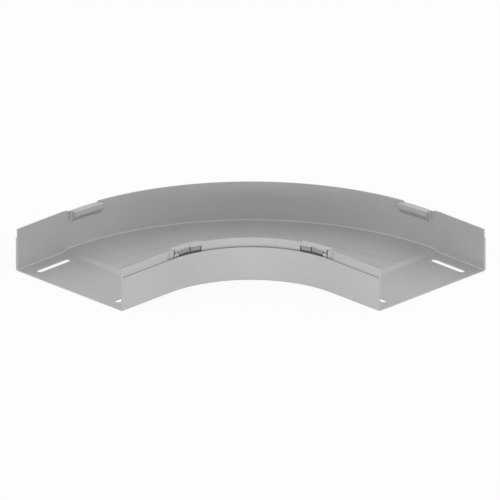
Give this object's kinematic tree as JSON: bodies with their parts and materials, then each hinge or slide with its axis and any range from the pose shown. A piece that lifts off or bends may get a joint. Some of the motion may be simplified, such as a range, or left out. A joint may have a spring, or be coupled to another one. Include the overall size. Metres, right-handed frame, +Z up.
{
  "type": "cable tray bend",
  "caption": "Flat right-angle cable tray bend in folded galvanised sheet, with joggled coupling ends, slotted floor, lapped side plates and riveted spring clips.",
  "frame": {"origin": "centre of the footprint's bounding box, on the surface that the bend rests on", "axes": "+Z up; one leg points along -Y and the other along -X, and the arc bulges towards +X and +Y"},
  "size_m": [0.441, 0.441, 0.06],
  "materials": {
    "galvanised_sheet": "galvanised, satin",
    "spring_clip": "spring steel, satin",
    "rivet": "satin"
  },
  "bodies": {
    "root": {"tray_body": "galvanised_sheet", "inner_side_plate": "galvanised_sheet", "outer_side_plate": "galvanised_sheet", "inner_clip_1": "spring_clip", "inner_clip_2": "spring_clip", "outer_clip_1": "spring_clip", "outer_clip_2": "spring_clip", "inner_rivet_1": "rivet", "inner_rivet_2": "rivet", "outer_rivet_1": "rivet", "outer_rivet_2": "rivet"}
  },
  "joints": []
}
